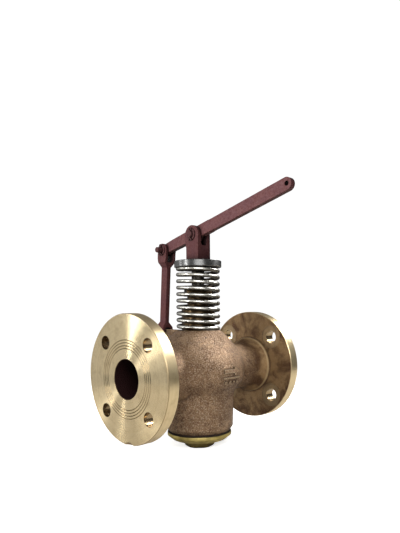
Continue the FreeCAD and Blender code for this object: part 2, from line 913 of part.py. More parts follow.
def relief_spring():
    """Left-hand coils between the casting and the spring cap, with both ends ground flat."""
    length = sz.spring_top_z - sz.top_z
    helix = doc.addObject("Part::Helix", "coil_path")
    bind(helix, "Pitch", sz.spring_pitch)
    bind(helix, "Height", length - sz.spring_grind * 2)
    bind(helix, "Radius", sz.spring_r)
    helix.LocalCoord = "Left-handed"
    wire = doc.addObject("Part::Circle", "wire_section")
    bind(wire, "Radius", sz.wire_r)
    wire.Placement.Rotation = FreeCAD.Rotation(FreeCAD.Vector(1, 0, 0), 90)
    bind(wire, "Placement.Base.x", sz.spring_r)
    coils = doc.addObject("Part::Sweep", "coils")
    coils.Sections = [wire]
    coils.Spine = (helix, ["Edge1"])
    coils.Solid = True
    coils.Frenet = True
    bind(coils, "Placement.Base.z", sz.top_z + sz.spring_grind)
    between = doc.addObject("Part::Cylinder", "ground_ends")
    bind(between, "Radius", sz.spring_r + sz.wire_r * 2)
    bind(between, "Height", length)
    bind(between, "Placement.Base.z", sz.top_z)
    spring = doc.addObject("Part::Common", "relief_spring")
    spring.Base = coils
    spring.Tool = between
    node(spring, "relief_spring", sz.axis_x)


def spring_cap():
    body = new_body("spring_cap")
    edge = sz.spring_cap_edge
    hole_r = sz.spindle_r + sz.press_gap
    pilot_low = sz.spring_top_z - sz.pilot_deep
    turned(
        body,
        [
            (hole_r, pilot_low),
            (sz.pilot_r - edge, pilot_low),
            (sz.pilot_r, pilot_low + edge),
            (sz.pilot_r, sz.spring_top_z),
            (sz.spring_cap_r - edge, sz.spring_top_z),
            (sz.spring_cap_r, sz.spring_top_z + edge),
            (sz.spring_cap_r, sz.spring_cap_top_z - edge),
            (sz.spring_cap_r - edge, sz.spring_cap_top_z),
            (hole_r, sz.spring_cap_top_z),
        ],
    )
    node(body, "spring_cap", sz.axis_x)


# ---- clevis, lever and link ----


def soften(body, test, radius):
    """Fillet the edges of the body's tip whose middle points pass the test."""
    tip = body.Tip
    edges = list(enumerate(tip.Shape.Edges, start=1))
    names = ["Edge%d" % number for number, edge in edges if test(edge.CenterOfMass)]
    fillet = body.newObject("PartDesign::Fillet", body.Name + "_fillet")
    fillet.Base = (tip, names)
    bind(fillet, "Radius", radius)
    doc.recompute()


def clevis():
    body = new_body("clevis")
    side = sketch_on(body, "YZ_Plane")
    eye = sz.clevis_eye_r
    swell_z = sz.pin_z - sz.clevis_swell_drop
    corners = [
        (-eye, sz.spring_cap_top_z),
        (sz.clevis_back, sz.spring_cap_top_z),
        (sz.clevis_back, swell_z - sz.clevis_swell_run),
        (eye, swell_z),
        (eye, sz.pin_z),
        (ZERO, sz.pin_z + eye),
        (-eye, sz.pin_z),
    ]
    outline(side, corners, {4: eye + TINY, 5: eye + TINY})
    grow(body, "Pad", side, length=sz.clevis_thick, both_ways=True)
    half_gap = sz.fork_gap / 2
    slot = sketch_on(body, "XZ_Plane")
    box_outline(slot, -half_gap, sz.clevis_slot_z, half_gap, sz.pin_z + eye + CLEAR)
    grow(body, "Pocket", slot, length=eye * 3, both_ways=True)
    hole = sketch_on(body, "YZ_Plane")
    circle(hole, 0, sz.pin_z, sz.clevis_pin_r + sz.press_gap)
    grow(body, "Pocket", hole, length=sz.clevis_thick * 2, both_ways=True)
    socket_r = sz.spindle_r + sz.press_gap
    low = sz.spring_cap_top_z - CLEAR
    bored(body, [(ZERO, low), (socket_r, low), (socket_r, sz.socket_top_z), (ZERO, sz.socket_top_z)])

    def slot_corner(middle):
        at_floor = abs(middle.z - sz.clevis_slot_z.value) < 0.01
        return at_floor and abs(abs(middle.x) - half_gap.value) < 0.01

    soften(body, slot_corner, sz.slot_corner_r)
    node(body, "clevis", sz.axis_x)


def lever():
    """Drawn level, with the clevis pin at its origin and the handle towards -Y, then tilted."""
    body = new_body("lever")
    tip_r = (sz.lever_top - sz.lever_low) / 2
    tip_z = (sz.lever_top + sz.lever_low) / 2
    side = sketch_on(body, "YZ_Plane")
    corners = [
        (-sz.tip_reach, sz.lever_low),
        (ZERO, sz.lever_low),
        (sz.arm_reach * sz.arm_low_share, sz.arm_low_mid),
        (sz.arm_reach, sz.arm_low),
        (sz.arm_reach, sz.arm_rise + sz.arm_eye_r),
        (sz.arm_reach * sz.arm_top_share, sz.lever_top),
        (-sz.tip_reach, sz.lever_top),
        (-sz.tip_reach - tip_r, tip_z),
    ]
    outline(side, corners, {6: tip_r + TINY, 7: tip_r + TINY})
    grow(body, "Pad", side, length=sz.tongue_thick, both_ways=True)
    for across, up, radius in ((ZERO, ZERO, sz.lever_eye_r), (sz.arm_reach, sz.arm_rise, sz.arm_eye_r)):
        boss = sketch_on(body, "YZ_Plane")
        circle(boss, across, up, radius)
        grow(body, "Pad", boss, length=sz.tongue_thick, both_ways=True)
    thin_handle(body)
    for across, up, radius in (
        (ZERO, ZERO, sz.clevis_pin_r + sz.running_gap),
        (sz.arm_reach, sz.arm_rise, sz.fulcrum_pin_r + sz.open_gap),
        (-sz.handle_hole_reach, tip_z, sz.handle_hole_r),
    ):
        hole = sketch_on(body, "YZ_Plane")
        circle(hole, across, up, radius)
        grow(body, "Pocket", hole, length=sz.tongue_thick * 2, both_ways=True)
    node(body, "lever", sz.axis_x, ZERO, sz.pin_z, turn=-sz.lever_rise)


def thin_handle(body):
    """Step the handle down from the tongue's thickness over a short slope on both cheeks."""
    plan = sketch_on(body, "XY_Plane")
    past_tip = -sz.tip_reach - sz.lever_top * 2
    for side in (1, -1):
        inner = sz.handle_thick / 2 * side
        outer = sz.tongue_thick / 2 * side
        far = outer + CLEAR * side
        outline(
            plan,
            [
                (outer, -sz.joggle_start),
                (inner, -sz.joggle_end),
                (inner, past_tip),
                (far, past_tip),
                (far, -sz.joggle_start),
            ],
        )
    grow(body, "Pocket", plan, length=sz.lever_top * 4, both_ways=True)


def fulcrum_link():
    """A forged bar with a fork at each end, drawn upright on its foot pivot and then leaned over."""
    run_y = sz.link_foot_y.value - sz.link_top_y.value
    run_z = sz.link_top_z.value - sz.link_foot_z.value
    length = Size(math.hypot(run_y, run_z))
    lean = Size(math.degrees(math.atan2(run_y, run_z)))
    body = new_body("fulcrum_link")
    ear_half = sz.fork_gap / 2 + sz.ear_thick
    half = sz.link_wide / 2
    ear = sz.ear_cheek
    foot_z = sz.ear_foot
    head_z = length - sz.ear_full
    side = sketch_on(body, "YZ_Plane")
    outline(
        side,
        [
            (-ear, 0),
            (ear, 0),
            (ear, foot_z),
            (half, foot_z + sz.ear_taper),
            (half, head_z - sz.ear_taper),
            (ear, head_z),
            (ear, length),
            (-ear, length),
            (-ear, head_z),
            (-half, head_z - sz.ear_taper),
            (-half, foot_z + sz.ear_taper),
            (-ear, foot_z),
        ],
    )
    grow(body, "Pad", side, length=ear_half * 2, both_ways=True)
    for up in (ZERO, length):
        eye = sketch_on(body, "YZ_Plane")
        circle(eye, 0, up, sz.link_eye_r)
        grow(body, "Pad", eye, length=ear_half * 2, both_ways=True)
    fork_ends(body, length, ear_half)
    for up, radius in ((ZERO, sz.foot_pin_r + sz.running_gap), (length, sz.fulcrum_pin_r + sz.press_gap)):
        hole = sketch_on(body, "YZ_Plane")
        circle(hole, 0, up, radius)
        grow(body, "Pocket", hole, length=ear_half * 4, both_ways=True)
    node(body, "fulcrum_link", sz.axis_x, sz.link_foot_y, sz.link_foot_z, turn=lean)


def fork_ends(body, length, ear_half):
    """Waist the bar between the forks and open the gap in each fork."""
    front = sketch_on(body, "XZ_Plane")
    far = ear_half + CLEAR
    bar = sz.link_thick / 2
    head = length - sz.head_crotch
    low_flare = sz.foot_crotch + sz.flare_lap
    top_flare = head - sz.flare_lap
    for side in (1, -1):
        outline(
            front,
            [
                (ear_half * side, low_flare),
                (bar * side, low_flare + sz.flare_run),
                (bar * side, top_flare - sz.flare_run),
                (ear_half * side, top_flare),
                (far * side, top_flare),
                (far * side, low_flare),
            ],
        )
    grow(body, "Pocket", front, length=sz.link_wide * 3, both_ways=True)
    gaps = sketch_on(body, "XZ_Plane")
    half_gap = sz.fork_gap / 2
    beyond = sz.link_eye_r + CLEAR
    box_outline(gaps, -half_gap, -beyond, half_gap, sz.foot_crotch)
    box_outline(gaps, -half_gap, head, half_gap, length + beyond)
    grow(body, "Pocket", gaps, length=sz.link_wide * 3, both_ways=True)

    def crotch_corner(middle):
        at_crotch = min(abs(middle.z - sz.foot_crotch.value), abs(middle.z - head.value)) < 0.01
        return at_crotch and abs(abs(middle.x) - half_gap.value) < 0.01

    soften(body, crotch_corner, sz.slot_corner_r)


# ---- pivots ----


def pivot_pin(label, radius, grip, tail, where):
    """A headed pin along X; grip is half the width of the ears and tail is what stands out of them."""
    body = new_body(label)
    sketch = sketch_on(body, "XZ_Plane")
    edge = sz.pin_edge
    head_r = radius + sz.pin_head_lap
    outline(
        sketch,
        [
            (-grip - tail, ZERO),
            (grip + sz.pin_head, ZERO),
            (grip + sz.pin_head, head_r - edge),
            (grip + sz.pin_head - edge, head_r),
            (grip, head_r),
            (grip, radius),
            (-grip - tail + edge, radius),
            (-grip - tail, radius - edge),
        ],
    )
    grow(body, "Revolution", sketch, about="H_Axis")
    cross = sketch_on(body, "XY_Plane")
    circle(cross, split_place(grip), 0, sz.split_hole_r)
    grow(body, "Pocket", cross, length=radius * 4, both_ways=True)
    node(body, label, *where)


def split_place(grip):
    """Where the split pin crosses, just outside the washer."""
    return -grip - sz.washer_thick - sz.split_r - sz.split_gap


def pivot_washer(label, radius, grip, where):
    body = new_body(label)
    sketch = sketch_on(body, "XZ_Plane")
    inner = radius + sz.press_gap
    outer = radius + sz.washer_lap
    box_outline(sketch, -grip - sz.washer_thick, inner, -grip, outer)
    grow(body, "Revolution", sketch, about="H_Axis")
    node(body, label, *where)


def split_pin(label, radius, grip, where):
    """A split pin through the pivot pin, its eye above and its two tails spread below."""
    end = radius + sz.split_reach
    leg = doc.addObject("Part::Cylinder", label + "_leg")
    bind(leg, "Radius", sz.split_r)
    bind(leg, "Height", end * 2 + sz.split_r)
    bind(leg, "Placement.Base.z", -end)
    eye = doc.addObject("Part::Torus", label + "_eye")
    bind(eye, "Radius1", sz.split_eye_r)
    bind(eye, "Radius2", sz.split_wire_r)
    eye.Placement.Rotation = FreeCAD.Rotation(FreeCAD.Vector(0, 1, 0), 90)
    bind(eye, "Placement.Base.z", end + sz.split_eye_r)
    parts = [leg, eye]
    for side in (1, -1):
        tail = doc.addObject("Part::Cylinder", label + "_tail")
        bind(tail, "Radius", sz.split_wire_r)
        bind(tail, "Height", sz.split_tail)
        turn = 180 + side * sz.split_splay.value
        tail.Placement.Rotation = FreeCAD.Rotation(FreeCAD.Vector(1, 0, 0), turn)
        bind(tail, "Placement.Base.z", -end + sz.split_r)
        parts.append(tail)
    pin = doc.addObject("Part::MultiFuse", label)
    pin.Shapes = parts
    across, along, up = where
    node(pin, label, across + split_place(grip), along, up)


def pivots():
    """The pin, washer and split pin of each of the three pivots."""
    fork_half = sz.fork_gap / 2 + sz.ear_thick
    clevis_half = sz.clevis_thick / 2
    for name, radius, grip, tail, along, up in (
        ("clevis", sz.clevis_pin_r, clevis_half, sz.clevis_tail, ZERO, sz.pin_z),
        ("fulcrum", sz.fulcrum_pin_r, fork_half, sz.fulcrum_tail, sz.link_top_y, sz.link_top_z),
        ("link_foot", sz.foot_pin_r, fork_half, sz.foot_tail, sz.link_foot_y, sz.link_foot_z),
    ):
        where = (sz.axis_x, along, up)
        loose = grip + sz.running_gap * 2
        pivot_pin(name + "_pin", radius, loose, tail, where)
        pivot_washer(name + "_washer", radius, loose, where)
        split_pin(name + "_split_pin", radius, loose, where)


def write_nodes():
    """Check every object and every sub-part, then write one file for each."""
    doc.recompute()
    for thing in doc.Objects:
        if "Invalid" in thing.State or "Error" in thing.State:
            raise ValueError("%s failed: %s" % (thing.Name, thing.State))
    os.makedirs("parts", exist_ok=True)
    for thing in nodes:
        if thing.Shape.isNull() or not thing.Shape.isValid():
            raise ValueError("%s has no sound shape" % thing.Label)
        thing.Shape.exportStep("parts/%s.step" % thing.Label)


for build in (
    valve_body,
    seat_ring,
    bottom_cap,
    cap_gasket,
    valve_disc,
    disc_seal,
    seal_retainer,
    disc_nut,
    spindle,
    stuffing_box,
    gland_packing,
    gland_follower,
    gland_nut,
    relief_spring,
    spring_cap,
    clevis,
    lever,
    fulcrum_link,
    pivots,
):
    build()
write_nodes()
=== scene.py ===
import functools
import json
import math
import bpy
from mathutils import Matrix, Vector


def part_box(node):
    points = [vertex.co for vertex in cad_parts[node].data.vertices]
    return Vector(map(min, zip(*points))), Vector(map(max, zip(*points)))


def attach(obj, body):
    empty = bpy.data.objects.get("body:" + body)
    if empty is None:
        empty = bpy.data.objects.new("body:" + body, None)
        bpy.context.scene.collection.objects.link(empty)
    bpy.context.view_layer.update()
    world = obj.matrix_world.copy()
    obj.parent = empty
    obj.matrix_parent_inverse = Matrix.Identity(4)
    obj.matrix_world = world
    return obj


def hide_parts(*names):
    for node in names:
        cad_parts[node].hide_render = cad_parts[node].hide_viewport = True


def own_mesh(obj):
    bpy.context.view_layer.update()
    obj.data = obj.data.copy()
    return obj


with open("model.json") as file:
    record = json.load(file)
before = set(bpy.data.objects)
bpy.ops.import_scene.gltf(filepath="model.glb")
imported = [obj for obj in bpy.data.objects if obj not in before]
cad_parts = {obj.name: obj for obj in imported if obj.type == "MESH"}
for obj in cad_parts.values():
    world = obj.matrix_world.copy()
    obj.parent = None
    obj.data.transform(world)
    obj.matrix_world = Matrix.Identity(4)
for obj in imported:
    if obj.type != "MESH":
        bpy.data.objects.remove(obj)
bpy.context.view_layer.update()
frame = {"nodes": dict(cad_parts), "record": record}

from types import SimpleNamespace

import bpy
from mathutils import Matrix, Vector

# Looks for the flanged relief valve. Metres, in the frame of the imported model: +X along the pipe from
# inlet to outlet, +Y to the side of the swinging link, +Z up along the spindle.

MM = 0.001
NODES = frame["nodes"]
MOUNTS = {mount["name"]: mount for mount in frame["record"]["mounts"]}


# ---- places, read from the frame ----


def middle(node):
    low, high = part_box(node)
    return (low + high) / 2


PIPE_CENTRE = Vector(MOUNTS["inlet_flange"]["pos_m"])
OUTLET_X = MOUNTS["outlet_flange"]["pos_m"][0]
MIDDLE_X = OUTLET_X / 2
BOLT_CIRCLE_R = MOUNTS["inlet_flange"]["dims"]["pcd_mm"] / 2 * MM
BOLT_HOLE_R = MOUNTS["inlet_flange"]["dims"]["hole_r_mm"] * MM
SPINDLE = middle("spindle")
FLANGE_R = -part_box("valve_body")[0].y
SKIRT_LOW_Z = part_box("cap_gasket")[1].z
CAP_LOW_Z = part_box("bottom_cap")[0].z

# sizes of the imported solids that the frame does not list
FLANGE_THICK = 16 * MM
SPOTFACE_R = 17 * MM
BORE_R = 25 * MM
HUB_R = 41.5 * MM
LIP_FROM_MIDDLE = MIDDLE_X - FLANGE_THICK - 3 * MM
HEXAGON_TALL = 10.8 * MM
SPOTFACE_SHINE = 0.16
MARKS_HALF_X = 16 * MM
MARKS_HALF_Z = 16 * MM

PINNED = ("clevis", "fulcrum", "link_foot")
PIN_PARTS = ("_pin", "_washer", "_split_pin")
LINKAGE = ["clevis", "fulcrum_link", "lever"] + [joint + part for joint in PINNED for part in PIN_PARTS]
PLAIN_BRONZE = ("seat_ring", "valve_disc", "seal_retainer", "disc_nut", "stuffing_box", "gland_follower")

# a quarter turn, so that highlights stretch across the lathe's grooves
ACROSS_GROOVES = 0.25

# the stage
FLOOR_R = 1.2
FLOOR_SIDES = 96
FLOOR_GAP = 0.2 * MM
LEFT_WALL = 135
LEFT_LEVEL = 0.70
LAMP_TARGET = Vector((SPINDLE.x, SPINDLE.y, 0.04))


# ---- node trees ----


class Tree:
    """A material's node tree, with short calls that take and return sockets."""

    def __init__(self, name):
        self.material = bpy.data.materials.new(name)
        self.material.use_nodes = True
        self.tree = self.material.node_tree
        self.shader = self.tree.nodes["Principled BSDF"]

    def feed(self, socket, value):
        if isinstance(value, bpy.types.NodeSocket):
            self.tree.links.new(value, socket)
        elif value is not None:
            socket.default_value = value

    def node(self, kind, inputs=(), **settings):
        made = self.tree.nodes.new("ShaderNode" + kind)
        for name, value in settings.items():
            setattr(made, name, value)
        for key, value in dict(inputs).items():
            self.feed(made.inputs[key], value)
        return made

    def place(self):
        return self.node("TexCoord").outputs["Object"]

    def split(self, vector):
        return self.node("SeparateXYZ", {0: vector}).outputs

    def join(self, x, y, z):
        return self.node("CombineXYZ", {0: x, 1: y, 2: z}).outputs[0]

    def calc(self, operation, a, b=None):
        return self.node("Math", {0: a, 1: b}, operation=operation).outputs[0]

    def all_of(self, *shares):
        return functools.reduce(functools.partial(self.calc, "MULTIPLY"), shares)

    def any_of(self, *shares):
        return functools.reduce(functools.partial(self.calc, "MAXIMUM"), shares)

    def sum_of(self, *parts):
        """Sum of (socket, weight) pairs."""
        weighed = [self.calc("MULTIPLY", socket, weight) for socket, weight in parts]
        return functools.reduce(functools.partial(self.calc, "ADD"), weighed)

    def vector(self, operation, a, b=None):
        made = self.node("VectorMath", {0: a, 1: b}, operation=operation)
        return made.outputs["Value" if operation in ("LENGTH", "DOT_PRODUCT", "DISTANCE") else "Vector"]

    def noise(self, where, size, detail=3.0, rough=0.55, twist=0.0):
        """Noise from 0 to 1 with lumps of about the given size in metres."""
        made = self.node("TexNoise", {"Vector": where, "Scale": 1 / size, "Detail": detail})
        made.inputs["Roughness"].default_value = rough
        made.inputs["Distortion"].default_value = twist
        return made.outputs[0]

    def cells(self, where, size):
        """Distance to the nearest of points scattered about the given size apart."""
        return self.node("TexVoronoi", {"Vector": where, "Scale": 1 / size}).outputs["Distance"]

    def span(self, value, low, high, to_low=0.0, to_high=1.0, smooth=False):
        """The value stretched so that low and high become to_low and to_high, held beyond them."""
        kind = "SMOOTHSTEP" if smooth else "LINEAR"
        inputs = {"Value": value, "From Min": low, "From Max": high, "To Min": to_low, "To Max": to_high}
        return self.node("MapRange", inputs, interpolation_type=kind).outputs[0]

    def under(self, value, limit, soft=0.0002):
        """1 where the value is under the limit, 0 above it, with a soft edge."""
        return self.span(value, limit - soft, limit + soft, 1.0, 0.0)

    def over(self, value, limit, soft=0.0002):
        """0 where the value is under the limit, 1 above it, with a soft edge."""
        return self.span(value, limit - soft, limit + soft, 0.0, 1.0)

    def blend(self, share, a, b):
        """A colour mixed from a to b by share."""
        made = self.tree.nodes.new("ShaderNodeMix")
        made.data_type = "RGBA"
        sockets = [socket for socket in made.inputs if socket.type == "RGBA"]
        self.feed(made.inputs[0], share)
        self.feed(sockets[0], a)
        self.feed(sockets[1], b)
        return [socket for socket in made.outputs if socket.type == "RGBA"][0]

    def layers(self, colour, *coats):
        """A colour under coats, each given as where it lies, how thick it is, and its colour."""
        for where, thickness, coat in coats:
            colour = self.blend(self.calc("MULTIPLY", where, thickness), colour, coat)
        return colour

    def lerp(self, share, a, b):
        """A number mixed from a to b by share."""
        made = self.tree.nodes.new("ShaderNodeMix")
        self.feed(made.inputs[0], share)
        self.feed(made.inputs[2], a)
        self.feed(made.inputs[3], b)
        return made.outputs[0]

    def mix_normals(self, share, a, b):
        made = self.node("Mix", {0: share, 4: a, 5: b}, data_type="VECTOR")
        return made.outputs[1]

    def bump(self, height, distance, strength=1.0):
        inputs = {"Height": height, "Distance": distance, "Strength": strength}
        return self.node("Bump", inputs).outputs[0]

    def worn_edges(self, radius):
        """1 on outside edges and corners, 0 on flats."""
        rounded = self.node("Bevel", {"Radius": radius}, samples=6).outputs[0]
        flat = self.node("NewGeometry").outputs["Normal"]
        return self.span(self.vector("DOT_PRODUCT", rounded, flat), 0.97, 0.80)

    def painted_corner_shade(self, reach, clear=0.80, shut=0.25, most=0.85):
        """Painted shade in corners and narrow gaps, taken from ambient occlusion. It starts where less than
        the clear share of the space within the reach is open, and is thickest where only the shut share is."""
        light = self.node("AmbientOcclusion", {"Distance": reach}, samples=8).outputs["AO"]
        return self.span(light, clear, shut, 0.0, most)

    def painted_outline_shade(self, low, high):
        """From 0 to 1 towards an object's outline, where its surface turns away from the eye; used to paint
        shade along the outline.
        """
        away = self.node("LayerWeight", {"Blend": 0.5}).outputs["Facing"]
        return self.span(away, low, high)

    def surface(self, **inputs):
        """Feed the Principled shader; an underscore in a name stands for a space."""
        for name, value in inputs.items():
            self.feed(self.shader.inputs[name.replace("_", " ")], value)
        return self.material


def rgb(red, green, blue):
    return (red, green, blue, 1.0)


def round_axis(tree, axis, centre):
    """Distance from an axis, distance along it, and the direction round it, as sockets."""
    x, y, z = tree.split(tree.vector("SUBTRACT", tree.place(), tuple(centre)))
    if axis == "X":
        across = tree.join(0.0, y, z)
        round_way = tree.join(0.0, tree.calc("MULTIPLY", z, -1.0), y)
        along = x
    else:
        across = tree.join(x, y, 0.0)
        round_way = tree.join(tree.calc("MULTIPLY", y, -1.0), x, 0.0)
        along = z
    return tree.vector("LENGTH", across), along, in_world(tree, round_way)


def in_world(tree, direction):
    """A direction in an object's own space, turned into the world's, one long."""
    made = tree.node("VectorTransform", {0: direction}, vector_type="VECTOR")
    made.convert_from = "OBJECT"
    made.convert_to = "WORLD"
    return tree.vector("NORMALIZE", made.outputs[0])


def tool_marks(tree, radius, along):
    """Fine rings left by a lathe tool, from 0 to 1, and a slower change between bands of them."""
    spot = tree.join(radius, along, 0.0)
    fine = tree.noise(spot, 0.35 * MM, detail=2.0, rough=0.7)
    bands = tree.noise(spot, 3.5 * MM, detail=3.0, rough=0.6)
    return fine, bands


# ---- metals ----


def turned_metal(name, colour, shade, rough=0.28, stretch=0.75, grime=0.25, darker_under=None):
    """Metal turned about the spindle: rings of tool marks, stretched highlights, blotches of tarnish, and,
    where a height is given, a darker tone below it with painted shade in corners."""
    tree = Tree(name)
    radius, along, round_way = round_axis(tree, "Z", SPINDLE)
    fine, bands = tool_marks(tree, radius, along)
    blotch = tree.noise(tree.place(), 14 * MM, detail=5.0, rough=0.6)
    specks = tree.noise(tree.place(), 1.2 * MM, detail=3.0, rough=0.7)
    tarnish = rgb(*[part * 0.45 for part in shade])
    coats = [
        (tree.span(bands, 0.3, 0.7), 0.35, rgb(*shade)),
        (tree.span(blotch, 0.42, 0.72), grime, tarnish),
    ]
    if darker_under is not None:
        coats += [
            # a darker tone below the given height
            (tree.under(along, darker_under - SPINDLE.z), 0.55, rgb(0.13, 0.090, 0.040)),
            # painted shade in corners and narrow gaps
            (tree.painted_corner_shade(4 * MM, clear=0.90, shut=0.50, most=0.9), 1.0, rgb(0.020, 0.012, 0.006)),
        ]
    dull = tree.span(bands, 0.3, 0.7, rough * 0.8, rough * 1.25)
    return tree.surface(
        Base_Color=tree.layers(rgb(*colour), *coats),
        Metallic=1.0,
        Roughness=tree.calc("ADD", dull, tree.span(specks, 0.5, 0.8, 0.0, 0.12)),
        Anisotropic=stretch,
        Anisotropic_Rotation=ACROSS_GROOVES,
        Tangent=round_way,
        Normal=tree.bump(tree.sum_of((fine, 0.6), (specks, 0.4)), 0.012 * MM, 0.6),
    )


def to_nearest_hole(tree, y, z):
    """Distance from the axis of the nearest bolt hole."""
    offset = BOLT_CIRCLE_R * math.cos(math.radians(45))
    gaps = []
    for side_y in (-1, 1):
        for side_z in (-1, 1):
            off_y = tree.calc("SUBTRACT", y, side_y * offset)
            off_z = tree.calc("SUBTRACT", z, side_z * offset)
            gaps.append(tree.vector("LENGTH", tree.join(0.0, off_y, off_z)))
    return functools.reduce(functools.partial(tree.calc, "MINIMUM"), gaps)


def casting_zones(tree):
    """Shares from 0 to 1 of the places where the casting looks different."""
    x, y, z = tree.split(tree.place())
    radius, along, round_way = round_axis(tree, "X", PIPE_CENTRE)
    from_middle = tree.calc("ABSOLUTE", tree.calc("SUBTRACT", x, MIDDLE_X))
    to_hole = to_nearest_hole(tree, y, z)
    facet_x, facet_y = tree.split(tree.node("NewGeometry").outputs["True Normal"])[:2]

    in_flange = tree.over(from_middle, MIDDLE_X - FLANGE_THICK + 0.25 * MM)
    faces = tree.over(from_middle, MIDDLE_X - 0.9 * MM)
    rims = tree.all_of(tree.over(radius, FLANGE_R - 1.0 * MM), in_flange)
    holes = tree.all_of(tree.under(to_hole, BOLT_HOLE_R + 0.5 * MM), in_flange)
    spots = tree.all_of(tree.under(to_hole, SPOTFACE_R, soft=0.25 * MM), in_flange, SPOTFACE_SHINE)
    slanted = tree.all_of(tree.span(tree.calc("ABSOLUTE", facet_x), 0.995, 0.97), faces)
    off_lip = tree.join(
        tree.calc("SUBTRACT", from_middle, LIP_FROM_MIDDLE),
        tree.calc("SUBTRACT", radius, HUB_R),
        0.0,
    )
    marks = tree.all_of(
        tree.under(from_middle, MARKS_HALF_X),
        tree.under(tree.calc("ABSOLUTE", z), MARKS_HALF_Z),
        tree.under(y, 0.0),
    )
    return SimpleNamespace(
        radius=radius,
        along=along,
        round_way=round_way,
        machined=tree.any_of(faces, rims, holes, spots),
        rims=rims,
        hole_walls=tree.all_of(tree.under(to_hole, BOLT_HOLE_R + 0.25 * MM, soft=0.05 * MM), in_flange),
        grooves=tree.all_of(slanted, tree.under(radius, FLANGE_R - 4 * MM)),
        chamfers=tree.all_of(slanted, tree.over(radius, FLANGE_R - 4 * MM)),
        # the bore, where shade is painted
        inside=tree.under(radius, BORE_R + 0.5 * MM),
        outlet_side=tree.over(x, OUTLET_X - FLANGE_THICK - 24 * MM, soft=12 * MM),
        # a ring along the hub's lip, where a highlight is painted
        lip=tree.under(tree.vector("LENGTH", off_lip), 1.3 * MM, soft=0.9 * MM),
        marks=marks,
        # the walls of the raised marks, where shade is painted
        mark_wall_shade=tree.all_of(marks, tree.under(tree.calc("ABSOLUTE", facet_y), 0.30, soft=0.05)),
        # a band just above the gasket, where a shadow is painted
        skirt_foot_shadow=tree.under(z, SKIRT_LOW_Z + 1.2 * MM, soft=0.4 * MM),
    )


def skin_noise(tree):
    """Noise of the cast skin, from broad clouds down to grit, and scattered pits."""
    place = tree.place()
    return SimpleNamespace(
        wide=tree.noise(place, 32 * MM, detail=6.0, rough=0.62, twist=0.6),
        patch=tree.noise(place, 9 * MM, detail=5.0, rough=0.60, twist=0.3),
        speck=tree.noise(place, 2.6 * MM, detail=3.0, rough=0.65),
        grain=tree.noise(place, 1.5 * MM, detail=5.0, rough=0.75),
        grit=tree.noise(place, 0.7 * MM, detail=2.0, rough=0.6),
        pits=tree.span(tree.cells(place, 3.2 * MM), 0.10, 0.30, -0.4, 0.0),
    )


def bright_bronze(tree, zone, bands):
    """Colour of machined bronze, tarnished in patches, with painted shade in holes, grooves and chamfers.
    """
    tarnish = tree.noise(tree.place(), 12 * MM, detail=5.0, rough=0.65)
    return tree.layers(
        rgb(0.80, 0.655, 0.41),
        (tree.span(bands, 0.3, 0.7, 0.2, 0.8), 1.0, rgb(0.66, 0.53, 0.31)),
        (tree.span(tarnish, 0.48, 0.75), 0.5, rgb(0.45, 0.34, 0.18)),
        # painted shade in the bolt holes, the face's grooves and the rim's chamfers
        (zone.hole_walls, 0.7, rgb(0.22, 0.14, 0.07)),
        (zone.grooves, 0.75, rgb(0.20, 0.13, 0.06)),
        (zone.chamfers, 0.6, rgb(0.20, 0.13, 0.06)),
    )


def cast_skin(tree, zone, noise):
    """Colour of the cast skin: sandy brown with dark patches and pale and dark grains, browner towards the
    outlet, worn pale on edges and raised marks with painted highlights there and along the hub's lip, and
    with painted shade in corners, above the gasket, on the marks' walls and towards the outline."""
    outlet = tree.layers(
        rgb(0.265, 0.165, 0.075),
        (tree.span(noise.wide, 0.43, 0.59), 1.0, rgb(0.072, 0.032, 0.012)),
        (tree.span(noise.patch, 0.50, 0.70), 0.35, rgb(0.050, 0.028, 0.014)),
    )
    # edges worn pale, partly a painted highlight, with a painted highlight along the hub's lip
    edges = tree.all_of(tree.worn_edges(1.6 * MM), tree.span(noise.patch, 0.30, 0.55, 0.35, 0.8))
    worn_and_highlit = tree.any_of(edges, tree.all_of(zone.lip, 0.6))
    # painted shade in corners and a painted shadow just above the gasket
    corner_and_skirt_shade = tree.any_of(tree.painted_corner_shade(3.5 * MM, clear=0.95, shut=0.62, most=0.95), zone.skirt_foot_shadow)
    return tree.layers(
        rgb(0.290, 0.182, 0.104),
        (tree.span(noise.wide, 0.35, 0.65), 1.0, rgb(0.135, 0.074, 0.038)),
        (tree.span(noise.patch, 0.50, 0.62), 0.42, rgb(0.060, 0.028, 0.016)),
        (tree.span(noise.speck, 0.45, 0.34), 0.85, rgb(0.040, 0.020, 0.012)),
        (tree.span(noise.grain, 0.50, 0.68), 0.82, rgb(0.55, 0.43, 0.30)),
        (tree.span(noise.grain, 0.47, 0.32), 0.95, rgb(0.040, 0.022, 0.012)),
        (zone.outlet_side, 0.82, outlet),
        # worn pale edges with painted highlights, and a painted highlight along the hub's lip
        (worn_and_highlit, 1.0, rgb(0.50, 0.37, 0.20)),
        # raised marks worn pale at their edges, partly a painted highlight
        (tree.all_of(zone.marks, tree.worn_edges(2.4 * MM)), 0.85, rgb(0.58, 0.45, 0.30)),
        # painted shade in corners and a painted shadow just above the gasket
        (corner_and_skirt_shade, 1.0, rgb(0.030, 0.012, 0.008)),
        # painted shade on the walls of the raised marks
        (zone.mark_wall_shade, 0.35, rgb(0.016, 0.007, 0.005)),
        # painted shade towards the outline
        (tree.painted_outline_shade(0.78, 0.97), 0.7, rgb(0.030, 0.014, 0.010)),
    )


